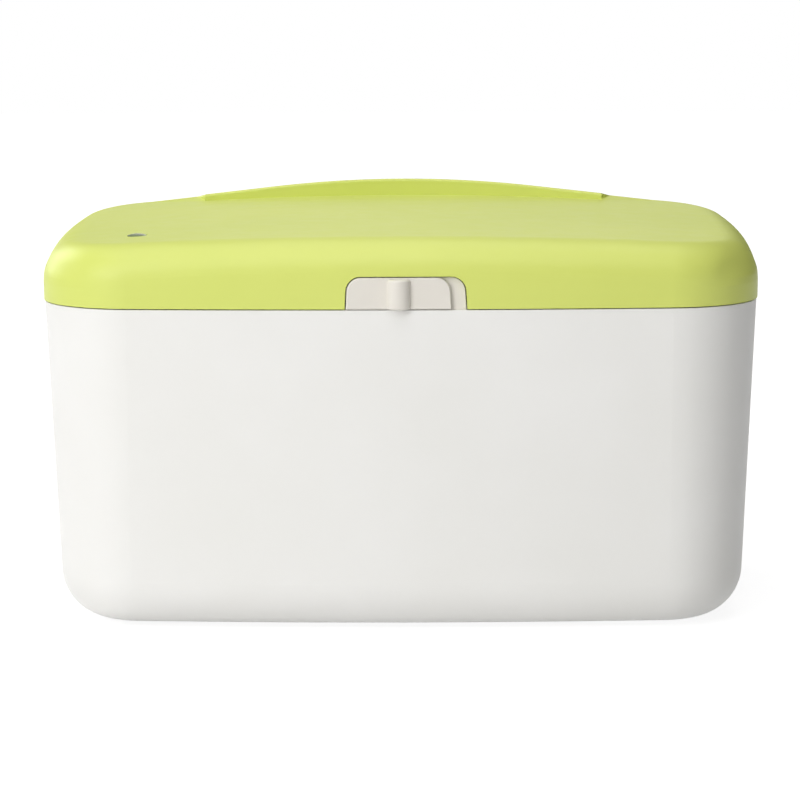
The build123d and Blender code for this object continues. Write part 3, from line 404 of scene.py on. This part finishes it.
# ---------------------------------------------------------------- stage
WHITE = (1.0, 1.0, 1.0, 1.0)
AMBIENT = 0.01  # strength of the world's light on the object
BACKDROP_AIM = (0.0, 0.98, 0.2)  # direction of the backdrop's middle
BACKDROP_EDGES = (radians(32.0), radians(12.0))  # from its dark edge to its white part
BACKDROP_NARROWING = (2.5, 1.0, 1.0)  # makes it narrower across than it is high
FLOOR_SIZE = 5.0  # metres
FLOOR_ALBEDO = 0.92  # for light that falls on the object
FLOOR_SHADOW = 0.25  # how much of the object's shadow shows on the white
FLOOR_GLOW = (0.9, 1.0)  # strength of the white, near the object and away from it
FLOOR_FADE = (0.12, 0.45)  # metres from the middle, between which the glow rises

LIGHTS = {  # name: place, point that it is aimed at, width and height, all in metres, and watts
    "key": ((-1.0, -1.3, 0.7), (0.0, 0.0, 0.06), (0.8, 0.8), 12.3),
    "left": ((-1.4, -0.1, 0.5), (0.0, 0.0, 0.06), (1.0, 1.0), 1.0),
    "front": ((-0.2, -1.1, 1.4), (0.0, 0.0, 0.06), (1.2, 1.0), 11.0),
    "top": ((-0.1, 0.1, 1.5), (0.0, 0.0, 0.1), (1.4, 1.2), 10.4),
    "back": ((-1.2, 1.1, 0.7), (0.0, 0.0, 0.06), (0.9, 0.9), 9.0),
}


def background_rays(tree, mirrored=1.0):
    """1 on rays that show the background: to the camera, or by gloss or glass times mirrored."""
    path = tree.nodes.new("ShaderNodeLightPath").outputs
    indirect = calculate(tree, "ADD", path["Is Glossy Ray"], path["Is Transmission Ray"])
    indirect = calculate(tree, "MULTIPLY", indirect, mirrored)
    return calculate(tree, "ADD", path["Is Camera Ray"], indirect, clamp=True)


def make_world():
    """White background, which gloss and glass see below the horizon and on the backdrop behind.

    Everything else gets a plain grey ambient.
    """
    world = bpy.data.worlds.new("studio")
    bpy.context.scene.world = world
    world.use_nodes = True
    tree = world.node_tree
    background = tree.nodes["Background"]
    view = tree.nodes.new("ShaderNodeTexCoord").outputs["Generated"]
    direction = tree.nodes.new("ShaderNodeSeparateXYZ")
    tree.links.new(view, direction.inputs[0])
    below = calculate(tree, "LESS_THAN", direction.outputs["Z"], 0.0)
    narrowed = vector_step(tree, "MULTIPLY", view, BACKDROP_NARROWING).outputs["Vector"]
    narrowed = vector_step(tree, "NORMALIZE", narrowed).outputs["Vector"]
    towards = vector_step(tree, "DOT_PRODUCT", narrowed, BACKDROP_AIM).outputs["Value"]
    backdrop = map_range(tree, towards, source=[cos(edge) for edge in BACKDROP_EDGES])
    mirrored = calculate(tree, "MAXIMUM", below, backdrop)
    strength = map_range(tree, background_rays(tree, mirrored), target=(AMBIENT, 1.0))
    tree.links.new(strength, background.inputs["Strength"])
    background.inputs["Color"].default_value = WHITE


def diffuse(tree, albedo):
    """Diffuse grey shader."""
    node = tree.nodes.new("ShaderNodeBsdfDiffuse")
    node.inputs["Color"].default_value = (albedo, albedo, albedo, 1.0)
    return node.outputs[0]


def make_floor():
    """Pale floor that keeps a faint shadow of the object and shows white as a background."""
    bpy.ops.mesh.primitive_plane_add(size=FLOOR_SIZE)
    floor = bpy.context.object
    floor.name = "floor"
    material = bpy.data.materials.new("floor")
    material.use_nodes = True
    tree = material.node_tree
    tree.nodes.clear()
    out = tree.nodes.new("ShaderNodeOutputMaterial")
    reach = vector_step(tree, "LENGTH", object_place(tree)).outputs["Value"]
    glow = tree.nodes.new("ShaderNodeEmission")
    tree.links.new(map_range(tree, reach, FLOOR_FADE, FLOOR_GLOW), glow.inputs["Strength"])
    seen = tree.nodes.new("ShaderNodeAddShader")
    tree.links.new(diffuse(tree, FLOOR_SHADOW), seen.inputs[0])
    tree.links.new(glow.outputs[0], seen.inputs[1])
    mix = tree.nodes.new("ShaderNodeMixShader")
    tree.links.new(background_rays(tree), mix.inputs[0])
    tree.links.new(diffuse(tree, FLOOR_ALBEDO), mix.inputs[1])
    tree.links.new(seen.outputs[0], mix.inputs[2])
    tree.links.new(mix.outputs[0], out.inputs["Surface"])
    floor.data.materials.append(material)


def area_light(name, place, aim, size, power):
    """Rectangular soft box."""
    data = bpy.data.lights.new(name, "AREA")
    data.shape = "RECTANGLE"
    data.size, data.size_y = size
    data.energy = power
    lamp = bpy.data.objects.new(name, data)
    bpy.context.collection.objects.link(lamp)
    lamp.location = place
    lamp.rotation_euler = (Vector(aim) - Vector(place)).to_track_quat("-Z", "Y").to_euler()


# ---------------------------------------------------------------- build
make_camera()
make_world()
make_floor()
for name, settings in LIGHTS.items():
    area_light(name, *settings)
dress_nodes()
make_lid()
make_hinge_spring()
make_latch_spring()

bpy.context.scene.view_settings.view_transform = "Standard"
